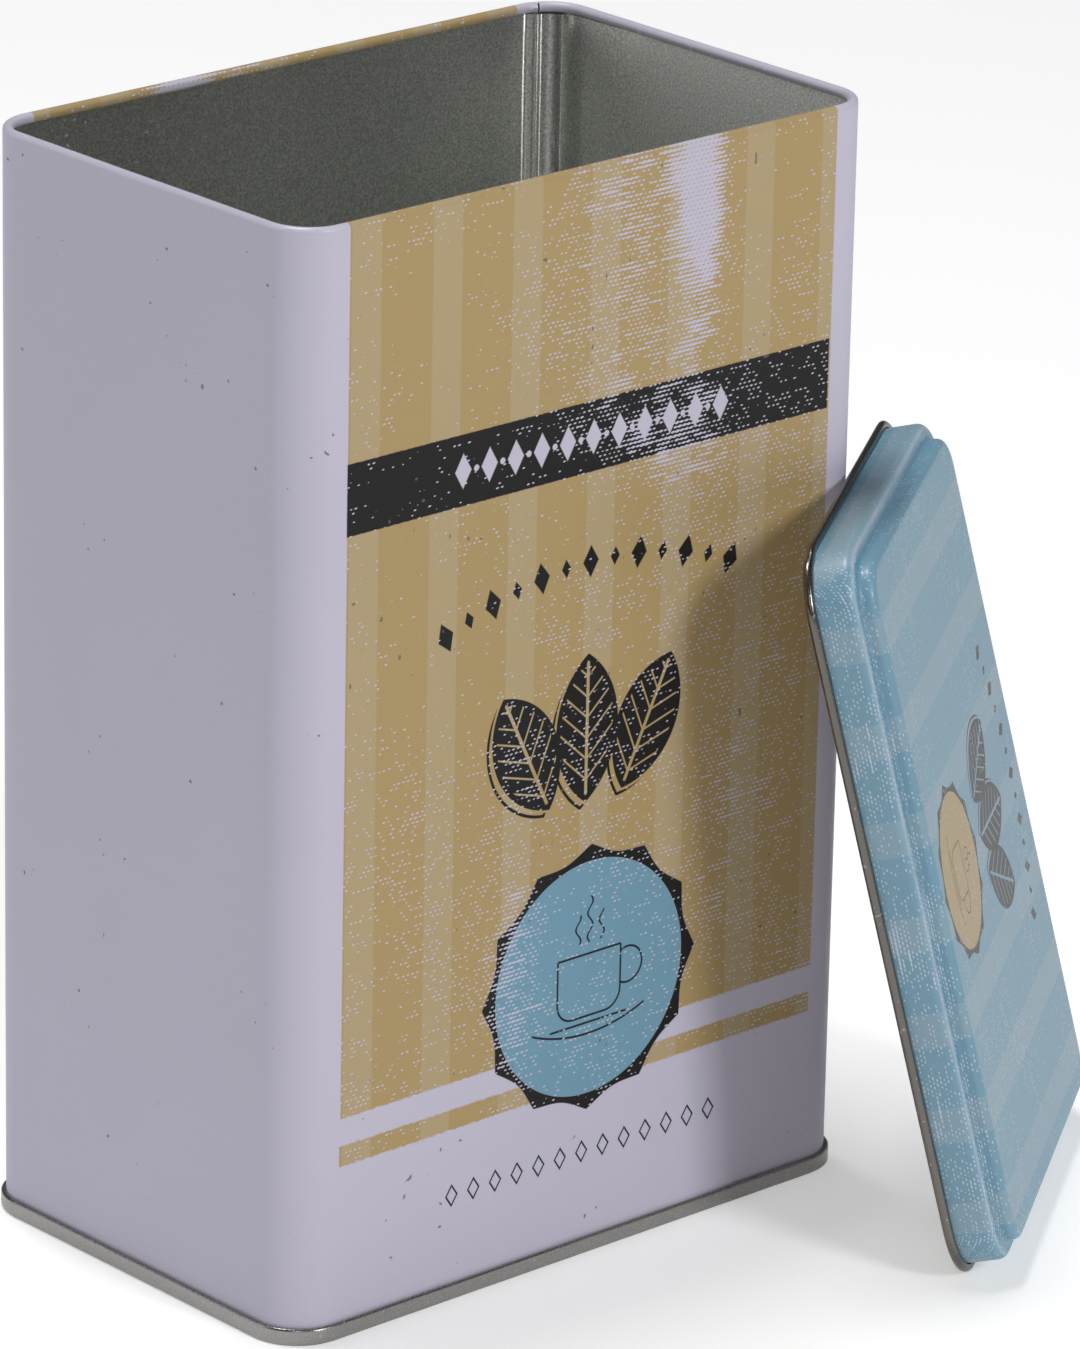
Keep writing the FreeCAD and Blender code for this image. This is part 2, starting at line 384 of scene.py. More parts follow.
def wall_art(middle):
    """Places a point of the body's sheet in the artwork, whose middle is on the flat at that angle.

    A side without a middle has no print, so it is placed far away from all artwork.
    """
    line = wall_line()
    level = line.index((-GAUGE / 2, TOP - RIM_ROLL))
    run_to_level = sum(math.dist(a, b) for a, b in zip(line[:level], line[1 : level + 1]))

    def place(station, along, _):
        up = along - run_to_level + TOP - RIM_ROLL
        if middle is None:
            return (FAR_AWAY, up / MM)
        spot = station.at(0.0)
        across = spot.x if middle == 270 else -spot.x
        past = CORNER * math.radians(abs((station.angle - middle + 180) % 360 - 180))
        side = FLAT_X + past if station.flat is None or station.angle != middle else abs(across)
        return (math.copysign(side, across) / MM, up / MM)

    return place


def seam_angles():
    """Angles round the seam's corner up to the seam's end, closest where its edge steps in."""
    edge_end = SEAM_START + SEAM_EDGE
    before = turn_steps(0, SEAM_START)
    edge = turn_steps(SEAM_START, edge_end, SEAM_EDGE / 2)
    after = turn_steps(edge_end, SEAM_END, 1.5)
    return before + edge[1:] + after[1:]


def wall_runs():
    """The stations of each piece of the wall, which starts and ends at the side seam."""
    front = flat_run(180, WALL_SPLIT, 1) + inner(corner_run(turn_steps(180, 270)))
    front += flat_run(270) + inner(corner_run(turn_steps(270, 360))) + flat_run(0, -1, -WALL_SPLIT)
    right = flat_run(0, -WALL_SPLIT, 1) + corner_run(seam_angles())[1:]
    back = corner_run(turn_steps(SEAM_END, 90, 1.5))[:-1] + flat_run(90)
    back += inner(corner_run(turn_steps(90, 180))) + flat_run(180, -1, -WALL_SPLIT)
    left = flat_run(180, -WALL_SPLIT, WALL_SPLIT)
    right[-1].slit = -RIM_SLIT / 2
    right[-1].tuck = SEAM_TUCK
    right[-2].tuck = SEAM_TUCK / 3
    back[0].slit = RIM_SLIT / 2
    return front, right, back, left


def make_wall(printed, raw):
    """The wall, with the same artwork in the middle of its front and of its back."""
    section = two_sides(wall_line(), False)
    front, right, back, left = wall_runs()
    parts = (
        ("wall_front", 270, front),
        ("wall_right", None, right),
        ("wall_back", 90, back),
        ("wall_left", None, left),
    )
    for name, middle, stations in parts:
        solid = Solid()
        sweep(solid, stations, section, wall_place, wall_art(middle), False)
        piece = solid.make(name, [printed, raw])
        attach(piece, "tin")
        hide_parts("wall")


def base_line():
    """The base's centre line, from the edge of its flat floor down round the bottom seam and up into it."""
    chuck = -1.5 * GAUGE - 0.5 * HOOK_GAP
    outer = 2.5 * GAUGE + 3 * HOOK_GAP
    low = GAUGE / 2
    fold = SEAM_HEIGHT - GAUGE / 2 - COVER_BEND
    line = [(chuck - BASE_BEND, BASE_RISE)]
    line += arc(chuck - BASE_BEND, BASE_RISE - BASE_BEND, BASE_BEND, 90, 0, 15)
    line += [(chuck, low + SEAM_BEND)]
    line += arc(chuck + SEAM_BEND, low + SEAM_BEND, SEAM_BEND, 180, 270, 15)
    line += [(outer - SEAM_BEND, low)]
    line += arc(outer - SEAM_BEND, low + SEAM_BEND, SEAM_BEND, 270, 360, 15)
    line += straight(line[-1], (outer, fold), 0.0004)
    line += arc(outer - COVER_BEND, fold, COVER_BEND, 0, 180, 15)
    line += [(outer - 2 * COVER_BEND, COVER_END)]
    return line


def no_art(*_):
    return (0.0, 0.0)


def make_base(inside, outside):
    """The base: its double seam, and the floor that closes the body."""
    line = base_line()
    section = two_sides(line, True)
    stations = whole_outline()
    solid = Solid()
    upper, lower = sweep(solid, stations, section, foot_place, no_art, True, open_start=True)
    edge = line[0][0]

    def floor_place(spot, is_raw):
        return (spot.x, spot.y, BASE_RISE - GAUGE / 2 if is_raw else BASE_RISE + GAUGE / 2)

    fill_panel(solid, upper, stations, edge, floor_place, no_art, 0)
    fill_panel(solid, lower, stations, edge, floor_place, no_art, 1)
    piece = solid.make("base_seam_and_floor", [inside, outside])
    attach(piece, "tin")
    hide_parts("base")


# ---------------------------------------------------------------- the lid
def lid_frame():
    """The lid's own axes at rest, from its open edge's middle: X up its length, Y across, Z out of its top.

    Its hinge ends with the lid flat on its top, so its travel past a right angle is the lid's lean.
    """
    hinge = next(joint for joint in frame["joints"] if joint["name"] == "lid_tip")
    across = Vector(hinge["axis"])
    lean = math.radians(hinge["range_deg"][1] - 90)
    level = across.cross(Vector((0, 0, 1)))
    out = level * math.cos(lean) + Vector((0, 0, math.sin(lean)))
    up = -level * math.sin(lean) + Vector((0, 0, math.cos(lean)))
    middle = Vector(hinge["pos_m"]) - up * HINGE_ALONG - out * HINGE_OUT
    turned = Matrix((up, -across, out)).transposed().to_4x4()
    turned.translation = middle
    return turned


def lid_line():
    """The lid's centre line from its panel to the end of its rolled edge, and its length up to the roll."""
    skirt = LID_CLEARANCE + GAUGE / 2
    bead = LID_BEAD - GAUGE / 2
    bead_at = LID_CLEARANCE + LID_BEAD
    ledge = LID_LEDGE - GAUGE / 2
    panel = LID_PANEL - GAUGE / 2
    riser = skirt - LID_RISER_INSET
    edge = riser - LID_EDGE_BEND
    line = [(edge - LID_PANEL_LAP, panel), (edge - LID_PANEL_LAP / 2, panel), (edge, panel)]
    line += arc(edge, panel - LID_EDGE_BEND, LID_EDGE_BEND, 90, 0, 9)
    line += [(riser, ledge + LID_FOOT_BEND)]
    line += arc(riser + LID_FOOT_BEND, ledge + LID_FOOT_BEND, LID_FOOT_BEND, 180, 270, 11)
    line += [(skirt - LID_SHOULDER, ledge)]
    line += arc(skirt - LID_SHOULDER, ledge - LID_SHOULDER, LID_SHOULDER, 90, 0, 9)
    line += straight(line[-1], (skirt, LID_BEAD), 0.0014)
    to_bead = sum(math.dist(a, b) for a, b in zip(line, line[1:]))
    line += arc(bead_at, LID_BEAD, bead, 180, 180 + LID_BEAD_TURN, 12)
    return line, to_bead


def make_lid(printed, inside, bead):
    """The lid: a rim that carries the shoulder, skirt and rolled edge, and the flat panel inside it."""
    pose = lid_frame()
    stations = whole_outline()

    def settle(x, y, up):
        return pose @ Vector((x, y, up))

    def rim_place(station, out, up, _):
        on_bead = ease(up, 2.2 * LID_BEAD, LID_BEAD)
        pinch = LID_PINCH * fade((station.angle - LID_PINCH_ANGLE) / 10) * on_bead
        step = LID_STEP * ease(station.angle, LID_PINCH_ANGLE + 2, LID_PINCH_ANGLE) * on_bead
        if station.angle > 180:
            step = LID_STEP * ease(station.angle, 330, 355) * on_bead
        spot = station.at(out - pinch)
        return settle(spot.x, spot.y, up + step)

    def panel_place(spot, is_raw):
        return settle(spot.x, spot.y, LID_PANEL - GAUGE if is_raw else LID_PANEL)

    def panel_art(spot):
        return (-spot.x / MM, -spot.y / MM)

    line, to_bead = lid_line()
    edge = line[0][0]

    def rim_art(station, along, _):
        """The skirt's place in the artwork is where it would be if the lid were pressed out flat."""
        return (*panel_art(station.at(edge + along)), along / MM)

    rim = Solid()
    sweep(rim, stations, two_sides(line, True), rim_place, rim_art, True, bead_from=to_bead)
    panel = Solid()
    rows = []
    for is_raw in (0, 1):
        row = [panel.add(panel_place(s.at(edge), is_raw), rim_art(s, 0, edge)) for s in stations]
        fill_panel(panel, row, stations, edge, panel_place, panel_art, is_raw)
        rows.append(row)
    panel.strip(rows[0], rows[1], 1, True)
    for name, solid in (("lid_rim", rim), ("lid_panel", panel)):
        piece = solid.make(name, [printed, inside, bead])
        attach(piece, "lid")
        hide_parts("lid")


# ---------------------------------------------------------------- materials
def feed(tree, slot, term):
    """Links a varying term to a node's slot, or sets the slot to a plain value."""
    if isinstance(term, Term):
        tree.links.new(term.socket, slot)
    else:
        slot.default_value = term


class Term:
    """Something that varies over a surface; arithmetic with it adds Math nodes to the material."""

    def __init__(self, tree, socket):
        self.tree = tree
        self.socket = socket

    def math(self, operation, *others, clamp=False):
        node = self.tree.nodes.new("ShaderNodeMath")
        node.operation = operation
        node.use_clamp = clamp
        for slot, term in zip(node.inputs, (self, *others)):
            feed(self.tree, slot, term)
        return Term(self.tree, node.outputs[0])

    def __add__(self, other):
        return self.math("ADD", other)

    __radd__ = __add__

    def __sub__(self, other):
        return self.math("SUBTRACT", other)

    def __mul__(self, other):
        return self.math("MULTIPLY", other)

    __rmul__ = __mul__

    def __truediv__(self, other):
        return self.math("DIVIDE", other)

    def __abs__(self):
        return self.math("ABSOLUTE")

    def inverse(self):
        """1 minus it, for masks."""
        return self.math("MULTIPLY_ADD", -1.0, 1.0)

    def low(self, other):
        return self.math("MINIMUM", other)

    def high(self, other):
        return self.math("MAXIMUM", other)

    def under(self, edge, soft):
        """1 where it is below edge, 0 above, with a soft step."""
        return self.math("MULTIPLY_ADD", -1.0 / soft, edge / soft + 0.5, clamp=True)

    def over(self, edge, soft):
        """1 where it is above edge, 0 below, with a soft step."""
        return self.math("MULTIPLY_ADD", 1.0 / soft, 0.5 - edge / soft, clamp=True)

    def between(self, first, last, soft):
        """1 from first to last, 0 outside, with soft steps."""
        return abs(self - (first + last) / 2).under((last - first) / 2, soft)

    def repeat(self, period):
        """Distance from the middle of the period that it falls in."""
        return (self / period).math("FRACT") * period - period / 2

    def cell(self, period):
        """The whole number of the period that it falls in."""
        return (self / period).math("FLOOR")


def length(first, second):
    """The length of the vector with those two parts."""
    return (first * first + second * second).math("SQRT")


class Finish:
    """One material, whose look is worked out by nodes."""

    def __init__(self, name):
        self.material = bpy.data.materials.new(name)
        self.material.use_nodes = True
        self.tree = self.material.node_tree
        self.shader = self.tree.nodes["Principled BSDF"]

    def node(self, kind, output, inputs=(), **settings):
        node = self.tree.nodes.new(kind)
        for key, value in settings.items():
            setattr(node, key, value)
        for key, value in dict(inputs).items():
            feed(self.tree, node.inputs[key], value)
        return Term(self.tree, node.outputs[output])

    def place(self):
        return self.node("ShaderNodeTexCoord", "Object")

    def art(self):
        """Across and up in the artwork, and how far down the lid's rim from its panel, in millimetres."""
        vector = self.node("ShaderNodeAttribute", "Vector", attribute_name="art")
        split = self.tree.nodes.new("ShaderNodeSeparateXYZ")
        feed(self.tree, split.inputs[0], vector)
        return tuple(Term(self.tree, output) for output in split.outputs)

    def vector(self, x, y, z=0.0):
        return self.node("ShaderNodeCombineXYZ", "Vector", {"X": x, "Y": y, "Z": z})

    def noise(self, size, detail=2.0, rough=0.5, at=None, stretch=(1, 1, 1)):
        """Cloudy noise whose features are about size metres across."""
        spot = self.node("ShaderNodeMapping", "Vector", {"Vector": at or self.place(), "Scale": stretch})
        inputs = {"Vector": spot, "Scale": 1.0 / size, "Detail": detail, "Roughness": rough}
        return self.node("ShaderNodeTexNoise", 0, inputs)

    def dice(self, x, y):
        """A random number for each whole x and y."""
        place = {"Vector": self.vector(x, y)}
        return self.node("ShaderNodeTexWhiteNoise", "Value", place, noise_dimensions="2D")

    def mix(self, first, second, share):
        node = self.tree.nodes.new("ShaderNodeMix")
        node.data_type = "RGBA"
        feed(self.tree, node.inputs[0], share)
        feed(self.tree, node.inputs[6], first)
        feed(self.tree, node.inputs[7], second)
        return Term(self.tree, node.outputs[2])

    def shade(self, **sockets):
        """Sets the shader's sockets, named in lower case with underscores."""
        names = {key: key.replace("_", " ").title() for key in sockets}
        names["specular"] = "Specular IOR Level"
        for key, value in sockets.items():
            feed(self.tree, self.shader.inputs[names[key]], value)

    def bump(self, height, depth):
        relief = self.node("ShaderNodeBump", "Normal", {"Height": height, "Distance": depth})
        feed(self.tree, self.shader.inputs["Normal"], relief)


# ---------------------------------------------------------------- artwork, in millimetres
# places are across from the middle of the front, or of the lid's top, and up from the foot, or that middle
STRIPE_PERIOD = 16.9
STRIPE_SHIFT = 6.6
STRIPE_HALF = 3.1
PANEL_HALF = 52.5
PANEL_FOOT = 38.7
LINE = 30.3, 33.9
BAND = 138.3, 150.4
MOTTO_UP = 144.2
MOTTO_PERIOD = 5.6
MOTTO_HALF = 30.9
MOTTO_DOT_HALF = 28.0
FOOT_ROW = 0.8, 18.5
BODY_LEAVES = 0, 92.0
BODY_ARCH = 0, 41.9
BODY_SEAL = 1.7, 49.6
SEAL_RADIUS = 20.7
SEAL_POINTS = 12
RIM_START = 189.3
RIM_CHIPS = 191.2, 192.2
LID_LEAVES = 0, 7.0
LID_ARCH = 0, -25.0
LID_SEAL = -1.3, -20.7
LID_SEAL_RADIUS = 13.2

# how far down the lid's rim its ledge and the crest of its shoulder are; the ledge is given painted shade
# and the crest a painted highlight
LID_LEDGE_BAND = 4.7, 6.8
LID_RIDGE = 7.1, 7.7

# the canvas-like grid of the worn print: between rows, and between dots in a row
BODY_GRID = 0.75, 1.03
LID_GRID = 0.62, 0.86

# places where the print is most worn, or least: across, up, half width, half height, how much
FRONT_WEAR = [
    (22, 188, 9, 24, 1.5),
    (24, 168, 7, 30, 0.7),
    (8, 172, 22, 32, 0.55),
    (26, 142, 26, 20, 0.3),
    (-16, 62, 9, 44, 0.55),
    (-15, 46, 10, 16, 0.45),
    (4, 142, 30, 12, 0.35),
    (36, 75, 50, 120, 0.22),
    (-40, 150, 40, 80, -0.25),
]
LID_WEAR = [
    (0, -47, 140, 9, 0.40),
    (20, -40, 90, 3, 0.55),
    (12, 30, 14, 10, 0.3),
    (0, 5, 90, 40, -0.25),
]

# how soft the edge of a printed area and of a drawn line is
AREA_EDGE = 0.2
MARK_EDGE = 0.12

# ---------------------------------------------------------------- colours
LILAC = (0.600, 0.570, 0.690, 1)
GOLD = (0.460, 0.330, 0.150, 1)
PALE_GOLD = (0.485, 0.375, 0.212, 1)
INK = (0.014, 0.013, 0.013, 1)
BLUE = (0.185, 0.360, 0.475, 1)
PALE_BLUE = (0.255, 0.400, 0.495, 1)
# painted shade for the groove of the lid's ledge
LEDGE_SHADE_BLUE = (0.120, 0.275, 0.390, 1)
# pale blue under the print where it is worn, and also a painted highlight along the crest of the lid's
# shoulder
WORN_BLUE_AND_RIDGE_HIGHLIGHT = (0.560, 0.640, 0.740, 1)
TINPLATE = (0.54, 0.56, 0.52, 1), (1.00, 1.00, 0.96, 1)
DULL_TINPLATE = (0.27, 0.26, 0.25, 1), (0.48, 0.47, 0.45, 1)
DARK_TINPLATE = (0.13, 0.118, 0.105, 1), (0.25, 0.235, 0.215, 1)
SCRATCH = (0.98, 0.97, 0.92, 1)
BARE_CHIP = (0.95, 0.93, 0.88, 1)
DARK_SPECK = (0.16, 0.13, 0.11, 1)
FLOOR_TONES = (0.86, 0.86, 0.86, 1), (0.88, 0.88, 0.88, 1)
WHITE = (1, 1, 1, 1)
ROOM = (0.95, 0.97, 1.0, 1)


def worn(finish, x, y, grid, spots):
    """Where the print has missed, as on canvas: rows of dots that join into dashes and bare patches."""
    row_pitch, dot_pitch = grid
    flat = finish.vector(x, y)
    wobble = finish.noise(1.6, 1, at=flat)
    across = x + wobble * 0.5
    up = y + wobble * 0.16
    row = up.cell(row_pitch)
    rise = up / row_pitch
    lean = rise.math("FRACT") * 0.3
    place = across / dot_pitch + row * 0.5 - lean
    luck = finish.dice((place + 0.5).math("FLOOR"), row)
    dots = (place * math.tau).math("COSINE")
    rows = (rise * math.tau).math("COSINE") * -1.0
    cloud = finish.noise(24, 3, at=flat)
    patch = finish.noise(7, 3, at=flat, stretch=(1, 2, 1))
    streak = finish.noise(4, 2, at=finish.vector(x, row * 6.1))
    wear = cloud * 1.5 + patch * 1.0 + streak * 1.3 - 1.90
    for middle_x, middle_y, wide, tall, strength in spots:
        away = length((x - middle_x) / wide, (y - middle_y) / tall)
        wear = wear + away.math("MULTIPLY_ADD", -1.0, 1.0, clamp=True) * strength
    dotted = ((wear + luck * 0.9 - 0.62).high(0.0) * 5.0).low(0.72)
    dashed = ((wear - 0.40).high(0.0) * 2.6).low(2.0)
    return (dots * 0.5 + rows + dotted + dashed).over(1.60, 0.14)


def stripes(x):
    """Paler stripes down the print."""
    return abs((x + STRIPE_SHIFT).repeat(STRIPE_PERIOD)).under(STRIPE_HALF, 0.25)


def leaf(x, y, across, up, tilt, tall, wide):
    """How far outside a leaf a place is, and its place along the leaf; negative distance is inside."""
    turn = math.radians(tilt)
    dx = x - across
    dy = y - up
    side = abs(dx * math.cos(turn) + dy * math.sin(turn))
    rise = dy * math.cos(turn) - dx * math.sin(turn)
    radius = (tall * tall + wide * wide) / (4 * wide)
    edge = length(side + (radius - wide / 2), rise) - radius
    return edge, side, rise


def leaves(x, y, middle, scale):
    """Three tea leaves with open veins, and an offset outline behind each for a shadow."""
    together = None
    for across, up, tilt, tall in ((-13.2, 0.4, 26, 24), (0, 2.0, 0, 26), (13.2, 0.4, -26, 24)):
        shape = (middle[0] + across * scale, middle[1] + up * scale, tilt, tall * scale, 13.6 * scale)
        edge, side, rise = leaf(x, y, *shape)
        veins = (side * 0.9 - rise).repeat(3.6 * scale)
        vein = abs(veins).under(0.22 * scale, 0.15).high(side.under(0.32 * scale, 0.15))
        body = edge.under(0.0, MARK_EDGE) * (vein * edge.under(-1.0 * scale, 0.15)).inverse()
        behind, _, _ = leaf(x + 1.2 * scale, y + 1.1 * scale, *shape)
        rim = behind.between(-0.55 * scale, 0.0, MARK_EDGE) * edge.over(0.45 * scale, MARK_EDGE)
        mark = body.high(rim)
        together = mark if together is None else together.high(mark)
    return together


def row_of_diamonds(x, y, middle, half_length, period, wide, tall, fine=None):
    """Diamonds in a row, each drawn solid, or as an outline of a fineness."""
    across = (x - middle[0] + period / 2).repeat(period)
    shape = abs(across) / wide + abs(y - middle[1]) / tall
    mark = shape.under(1.0, MARK_EDGE) if fine is None else abs(shape - 1.0).under(fine, MARK_EDGE)
    return mark * abs(x - middle[0]).under(half_length, 0.1)


def arch_of_diamonds(x, y, middle, radius, half_angle, count, wide, tall):
    """Diamonds standing on an arc, every other one small."""
    dx = x - middle[0]
    dy = y - middle[1]
    spread = math.radians(half_angle)
    angle = dx.math("ARCTAN2", dy)
    period = 2 * spread / count
    shifted = angle + period / 2
    along = shifted.repeat(period) * radius
    small = (shifted.cell(period) / 2).math("FRACT").over(0.25, 0.01)
    size = small * -0.42 + 1.0
    shape = (abs(along) / wide + abs(length(dx, dy) - radius) / tall) / size
    return shape.under(1.0, MARK_EDGE) * abs(angle).under(spread, 0.002)


def ring_arc(x, y, middle, radius, line):
    """A circle drawn in line."""
    return abs(length(x - middle[0], y - middle[1]) - radius).under(line, MARK_EDGE)


def steaming_cup(x, y):
    """A cup, its saucer and its steam drawn in line, about (0, 0)."""
    line = 0.19
    half = 7.0
    brim_up = 4.3
    bend = 3.4
    cup_side = abs(x) - half
    depth = y + 1.2
    outline = length(cup_side.high(-bend) + bend, (depth * -1.0 - 5.6).high(-bend) + bend) - bend
    body = abs(outline).under(line, MARK_EDGE) * y.under(brim_up, 0.1)
    brim = abs(y - brim_up).under(line, MARK_EDGE) * abs(x).under(half, 0.1)
    handle = ring_arc(x, y, (8.6, 0.2), 3.2, line) * x.over(half, 0.1)
    saucer = ring_arc(x, y, (0, 22.0), 32.0, line) * abs(x).under(12.5, 0.3) * y.under(0, 0.1)
    plate = abs(y + 8.0).under(line, MARK_EDGE) * abs(x).under(8.5, 0.3)
    steam = None
    for across, low, high in ((-2.6, 6.3, 11.5), (0.0, 6.3, 14.5), (2.6, 6.3, 11.5)):
        wave = (y * 1.5 + across).math("SINE") * 0.55
        curl = abs(x - wave - across).under(line, MARK_EDGE) * y.between(low, high, 0.2)
        steam = curl if steam is None else steam.high(curl)
    return body.high(brim).high(handle).high(saucer).high(plate).high(steam)


def badge(x, y, middle, radius):
    """A seal with points round it: the masks of the whole seal, of its disc, and of the cup in it."""
    scale = radius / SEAL_RADIUS
    dx = (x - middle[0]) / scale
    dy = (y - middle[1]) / scale
    away = length(dx, dy)
    turn = dx.math("ARCTAN2", dy)
    scallop = abs((turn * (SEAL_POINTS / 2)).math("SINE"))
    seal = (away + scallop * 1.9).under(SEAL_RADIUS + 3.0, 0.15)
    disc = away.under(SEAL_RADIUS, 0.15)
    return seal, disc, steaming_cup(dx, dy) * disc


def painted(finish, colour, wear, gloss, bare=0.0):
    """The common surface of the printed sheet: satin varnish over ink, and bare metal in its chips."""
    cloud = finish.noise(0.030, 2)
    grain = finish.noise(0.00035, 2)
    tone = cloud * 0.05 + grain * 0.06 + 0.945
    factors = {0: colour, 1: finish.vector(tone, tone, tone)}
    shaded = finish.node("ShaderNodeVectorMath", "Vector", factors, operation="MULTIPLY")
    rough = cloud * 0.08 + grain * 0.08 + 0.36 + wear * 0.06
    finish.shade(base_color=shaded, roughness=rough, metallic=bare)
    finish.shade(specular=gloss, coat_weight=gloss * 0.5, coat_roughness=0.22)
    finish.bump(grain * 0.6 + finish.noise(0.0025, 1) * 1.2 - wear * 0.5, 0.000012)


def printed_body():
    """Lilac tin with a striped gold panel, a dark band, leaves, a seal and rows of diamonds, twice."""
    finish = Finish("printed_lilac_and_gold")
    x, y, _ = finish.art()
    wear = worn(finish, x, y, BODY_GRID, FRONT_WEAR)
    printed = wear.inverse()
    rag = (finish.noise(0.0010, 2, stretch=(1, 1, 3)) - 0.5) * 0.9
    panel = abs(x - 0.2).under(PANEL_HALF, AREA_EDGE) * (y + rag).over(PANEL_FOOT, 0.3)
    line = abs(x).under(PANEL_HALF, AREA_EDGE) * (y + rag).between(*LINE, 0.3)
    gold = finish.mix(GOLD, PALE_GOLD, stripes(x))
    colour = finish.mix(LILAC, gold, panel.high(line) * printed)
    band = (y + rag * 0.3).between(*BAND, 0.15) * abs(x).under(PANEL_HALF - 0.1, AREA_EDGE)
    diamonds = row_of_diamonds(x, y, (0, MOTTO_UP), MOTTO_HALF, MOTTO_PERIOD, 1.75, 3.0)
    beads = length((x + MOTTO_PERIOD).repeat(MOTTO_PERIOD), y - MOTTO_UP).under(0.55, MARK_EDGE)
    motto = diamonds.high(beads * abs(x).under(MOTTO_DOT_HALF, 0.1))
    colour = finish.mix(colour, LILAC, band * motto)
    ink = (band * motto.inverse()).high(leaves(x, y, BODY_LEAVES, 1.0))
    ink = ink.high(arch_of_diamonds(x, y, BODY_ARCH, 81.0, 24.5, 13, 1.7, 2.8))
    colour = finish.mix(colour, INK, ink * printed)
    foot = row_of_diamonds(x, y, FOOT_ROW, 31.2, 4.8, 1.2, 1.8, 0.16)
    colour = finish.mix(colour, INK, foot)
    seal, disc, cup = badge(x, y, BODY_SEAL, SEAL_RADIUS)
    colour = finish.mix(colour, LILAC, seal)
    colour = finish.mix(colour, INK, seal * disc.inverse() * printed)
    colour = finish.mix(colour, BLUE, disc * printed)
    colour = finish.mix(colour, INK, cup * printed)
    speck = finish.noise(0.0013, 0).over(0.80, 0.02) * finish.noise(0.012, 0).over(0.66, 0.02)
    colour = finish.mix(colour, DARK_SPECK, speck * 0.8)
    rim = y.over(RIM_START, 0.6)
    chip = y.between(*RIM_CHIPS, 0.2) * finish.noise(0.0016, 2).over(0.655, 0.02)
    colour = finish.mix(colour, BARE_CHIP, chip)
    painted(finish, colour, wear, rim * 0.5 + 0.16, chip)
    return finish.material


def printed_lid():
    """Blue lid with paler stripes and the same ornaments, turned a quarter, with painted shade along its
    ledge and a painted highlight along the crest of its shoulder.
    """
    finish = Finish("printed_blue")
    x, y, down = finish.art()
    wear = worn(finish, x, y, LID_GRID, LID_WEAR)
    printed = wear.inverse()
    colour = finish.mix(BLUE, PALE_BLUE, stripes(x))
    ink = leaves(x, y, LID_LEAVES, 0.8).high(arch_of_diamonds(x, y, LID_ARCH, 55.0, 28, 13, 1.2, 2.1))
    colour = finish.mix(colour, INK, ink)
    seal, disc, cup = badge(x, y, LID_SEAL, LID_SEAL_RADIUS)
    colour = finish.mix(colour, INK, seal)
    colour = finish.mix(colour, GOLD, disc)
    colour = finish.mix(colour, INK, cup)
    # painted shade: the ledge's groove is darkened
    colour = finish.mix(colour, LEDGE_SHADE_BLUE, down.between(*LID_LEDGE_BAND, 0.5) * 0.45)
    # painted highlight: a pale line along the crest of the shoulder, broken up by noise
    ridge_highlight_strength = finish.noise(0.006, 2) * 0.8 + 0.05
    colour = finish.mix(colour, WORN_BLUE_AND_RIDGE_HIGHLIGHT, down.between(*LID_RIDGE, 0.5) * ridge_highlight_strength)
    colour = finish.mix(WORN_BLUE_AND_RIDGE_HIGHLIGHT, colour, printed)
    painted(finish, colour, wear, 0.50)
    return finish.material


def raw_tinplate(name, dark, light, roughness, grain, upright=False):
    """Bare tinplate: grey rolled metal with a fine mottle, bright specks and stray scratches.

    Upright sheet stretches its highlights up and down, as the rolled inside of the body does.
    """
    finish = Finish(name)
    mottle = finish.noise(0.0004, 3, 0.7)
    cloud = finish.noise(0.02, 3)
    rolled = finish.noise(0.0007, 2, stretch=(1, 1, 1.8))
    colour = finish.mix(dark, light, (mottle - 0.5).math("MULTIPLY_ADD", 3.2 * grain, 0.5, clamp=True))
    line = abs(finish.noise(0.16, 0, stretch=(1, 1, 1.4)) - 0.5)
    scratch = line.under(0.0007, 0.0005) * finish.noise(0.012, 1).over(0.52, 0.04)
    fleck = finish.noise(0.0008, 0).over(0.79, 0.02)
    mark = scratch.high(fleck) * grain
    colour = finish.mix(colour, SCRATCH, mark)
    rough = mottle * 0.25 + cloud * 0.16 + roughness + mark * 0.3
    finish.shade(base_color=colour, metallic=1.0, roughness=rough)
    if upright:
        turn = finish.node("ShaderNodeTangent", "Tangent", direction_type="RADIAL", axis="Z")
        finish.shade(anisotropic=0.95, anisotropic_rotation=0.25, tangent=turn)
    finish.bump(rolled + mottle * 0.3 + cloud * 0.3, 0.00004 * grain)
    return finish.material


def floor_material():
    """Pale card that glows a little, as if lit evenly from all round."""
    finish = Finish("studio_floor")
    colour = finish.mix(*FLOOR_TONES, finish.noise(0.4, 1))
    finish.shade(base_color=colour, roughness=0.7)
    seen = finish.node("ShaderNodeLightPath", "Is Camera Ray")
    finish.shade(emission_color=WHITE, emission_strength=seen * 0.20 + 0.19)
    return finish.material


# ---------------------------------------------------------------- studio
# the photograph's view: angles in degrees, the lens in millimetres, the rest in metres
CAMERA_YAW = 42.31
CAMERA_PITCH = 20.09
CAMERA_ROLL = 1.16
CAMERA_DISTANCE = 1.3684
CAMERA_RIGHT = 0.0190
CAMERA_DOWN = 0.0029
CAMERA_LENS = 218.97


def make_floor():
    half = 4.0
    corners = [(-half, -half, 0), (half, -half, 0), (half, half, 0), (-half, half, 0)]
    mesh = bpy.data.meshes.new("studio_floor")
    mesh.from_pydata(corners, [], [(0, 1, 2, 3)])
    mesh.materials.append(floor_material())
    floor = bpy.data.objects.new("studio_floor", mesh)
    bpy.context.scene.collection.objects.link(floor)


def direction(azimuth, elevation):
    """The way towards a light from the tin: azimuth 0 is straight in front of it and 90 is to its right."""
    a = math.radians(azimuth)
    e = math.radians(elevation)
    return Vector((math.sin(a) * math.cos(e), -math.cos(a) * math.cos(e), math.sin(e)))


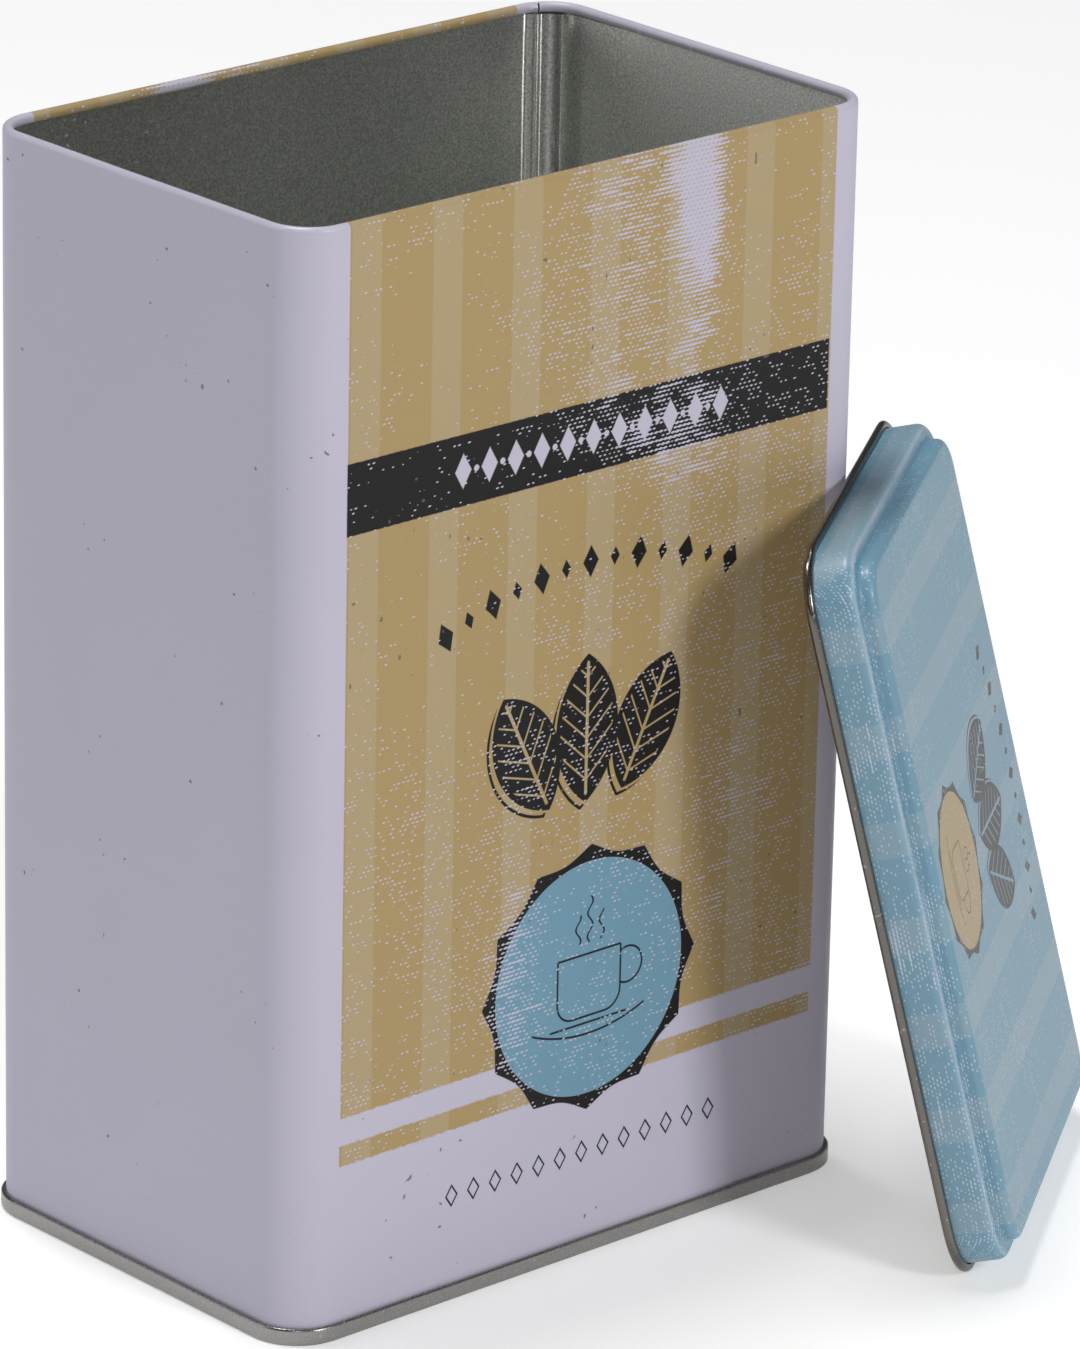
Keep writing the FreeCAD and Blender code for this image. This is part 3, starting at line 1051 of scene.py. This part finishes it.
def add_light(name, azimuth, elevation, distance, size, power):
    """A rectangular softbox, so wide and tall, that faces the middle of the tin."""
    light = bpy.data.lights.new(name, "AREA")
    light.shape = "RECTANGLE"
    light.size, light.size_y = size
    light.energy = power
    lamp = bpy.data.objects.new(name, light)
    away = direction(azimuth, elevation)
    lamp.location = Vector((0, 0, 0.09)) + away * distance
    lamp.rotation_euler = away.to_track_quat("Z", "Y").to_euler()
    bpy.context.scene.collection.objects.link(lamp)


def make_world():
    """A dim room that shows as plain white behind the object."""
    world = bpy.data.worlds.new("studio")
    bpy.context.scene.world = world
    world.use_nodes = True
    tree = world.node_tree
    tree.nodes.clear()
    output = tree.nodes.new("ShaderNodeOutputWorld")
    mixed = tree.nodes.new("ShaderNodeMixShader")
    path = tree.nodes.new("ShaderNodeLightPath")
    seen = tree.nodes.new("ShaderNodeBackground")
    room = tree.nodes.new("ShaderNodeBackground")
    seen.inputs["Color"].default_value = WHITE
    room.inputs["Color"].default_value = ROOM
    room.inputs["Strength"].default_value = 0.10
    tree.links.new(path.outputs["Is Camera Ray"], mixed.inputs[0])
    tree.links.new(room.outputs[0], mixed.inputs[1])
    tree.links.new(seen.outputs[0], mixed.inputs[2])
    tree.links.new(mixed.outputs[0], output.inputs[0])


def make_lights():
    add_light("key_softbox", 5, 27, 2.0, (0.42, 0.50), 15.0)
    add_light("left_softbox", -124, 24, 1.4, (0.95, 0.9), 2.5)
    add_light("corner_strip", -42, 30, 1.6, (0.10, 0.6), 1.4)
    add_light("top_softbox", -170, 78, 2.2, (0.6, 0.6), 25.0)
    bpy.context.scene.view_settings.view_transform = "Standard"


def make_camera():
    """A long lens round to the left of the front and looking down, rolled by about one degree."""
    yaw = math.radians(CAMERA_YAW)
    pitch = math.radians(CAMERA_PITCH)
    roll = math.radians(CAMERA_ROLL)
    ahead = Vector((math.sin(yaw) * math.cos(pitch), math.cos(yaw) * math.cos(pitch), -math.sin(pitch)))
    level = Vector((math.cos(yaw), -math.sin(yaw), 0))
    upward = level.cross(ahead)
    right = level * math.cos(roll) + upward * math.sin(roll)
    up = upward * math.cos(roll) - level * math.sin(roll)
    middle = Vector((0, 0, TOP / 2))
    spot = middle - ahead * CAMERA_DISTANCE + right * CAMERA_RIGHT - up * CAMERA_DOWN
    data = bpy.data.cameras.new("camera")
    data.lens = CAMERA_LENS
    data.sensor_width = 36
    data.clip_start = 0.05
    camera = bpy.data.objects.new("camera", data)
    turned = Matrix((right, up, -ahead)).transposed().to_4x4()
    turned.translation = spot
    camera.matrix_world = turned
    bpy.context.scene.collection.objects.link(camera)
    bpy.context.scene.camera = camera


make_camera()
make_world()
make_lights()
make_floor()
inside = raw_tinplate("rolled_tinplate", *TINPLATE, 0.20, 1.0, upright=True)
bright = raw_tinplate("bright_tinplate", *TINPLATE, 0.20, 0.45)
dull = raw_tinplate("dull_tinplate", *DULL_TINPLATE, 0.08, 0.2)
dark = raw_tinplate("dark_tinplate", *DARK_TINPLATE, 0.06, 0.2)
make_wall(printed_body(), inside)
make_base(bright, dull)
make_lid(printed_lid(), bright, dark)
bpy.context.view_layer.update()
